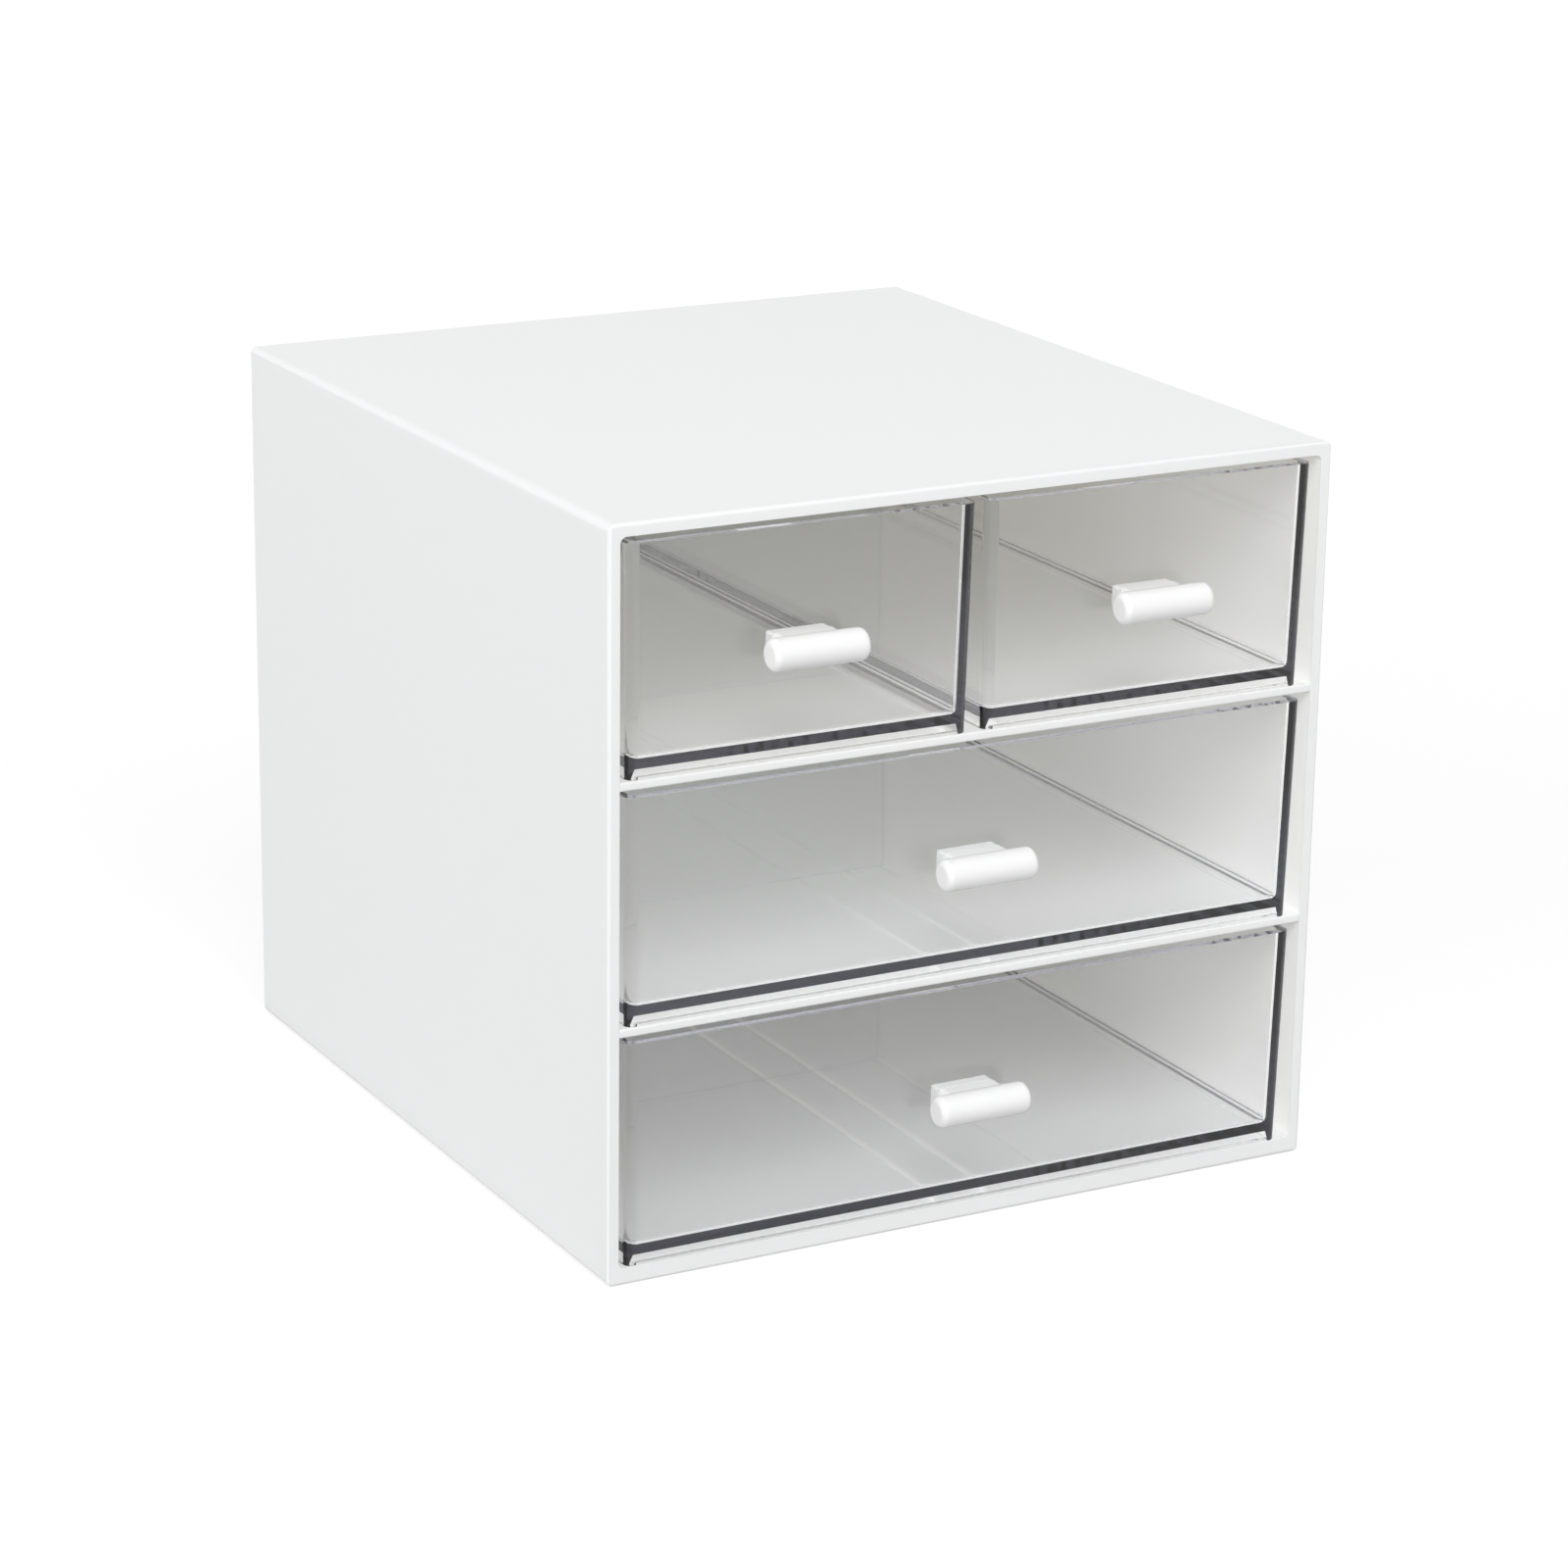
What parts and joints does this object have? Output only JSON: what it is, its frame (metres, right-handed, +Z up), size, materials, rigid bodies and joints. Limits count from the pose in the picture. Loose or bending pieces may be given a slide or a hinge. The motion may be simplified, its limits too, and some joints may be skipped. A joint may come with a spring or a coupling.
{
  "type": "desktop mini drawers",
  "caption": "Small desktop drawer cabinet in white plastic, with two half-width drawers over full-width clear drawers, each with a white bar handle",
  "frame": {"origin": "The middle of the cabinet's footprint, on the surface that it stands on", "axes": "+Z up. The drawers open towards -Y, so the back panel is on the +Y side. +X is to the right for someone who faces the drawers."},
  "size_m": [0.18, 0.2056, 0.17],
  "materials": {
    "cabinet_white": "moulded white plastic, satin",
    "drawer_clear": "clear polystyrene with a faint smoke tint, polished",
    "handle_white": "moulded white plastic, glossy"
  },
  "bodies": {
    "cabinet": {"cabinet_shell": "cabinet_white", "back_panel": "cabinet_white", "shelf_upper": "cabinet_white", "shelf_lower": "cabinet_white"},
    "drawer_top_left": {"drawer_top_left": "drawer_clear", "handle_top_left": "handle_white"},
    "drawer_top_right": {"drawer_top_right": "drawer_clear", "handle_top_right": "handle_white"},
    "drawer_middle": {"drawer_middle": "drawer_clear", "handle_middle": "handle_white"},
    "drawer_bottom": {"drawer_bottom": "drawer_clear", "handle_bottom": "handle_white"}
  },
  "joints": [
    {"name": "slide_top_left", "type": "slide", "parent": "cabinet", "child": "drawer_top_left", "axis": [0, -1, 0], "range_m": [0, 0.145]},
    {"name": "slide_top_right", "type": "slide", "parent": "cabinet", "child": "drawer_top_right", "axis": [0, -1, 0], "range_m": [0, 0.145]},
    {"name": "slide_middle", "type": "slide", "parent": "cabinet", "child": "drawer_middle", "axis": [0, -1, 0], "range_m": [0, 0.145]},
    {"name": "slide_bottom", "type": "slide", "parent": "cabinet", "child": "drawer_bottom", "axis": [0, -1, 0], "range_m": [0, 0.145]}
  ]
}
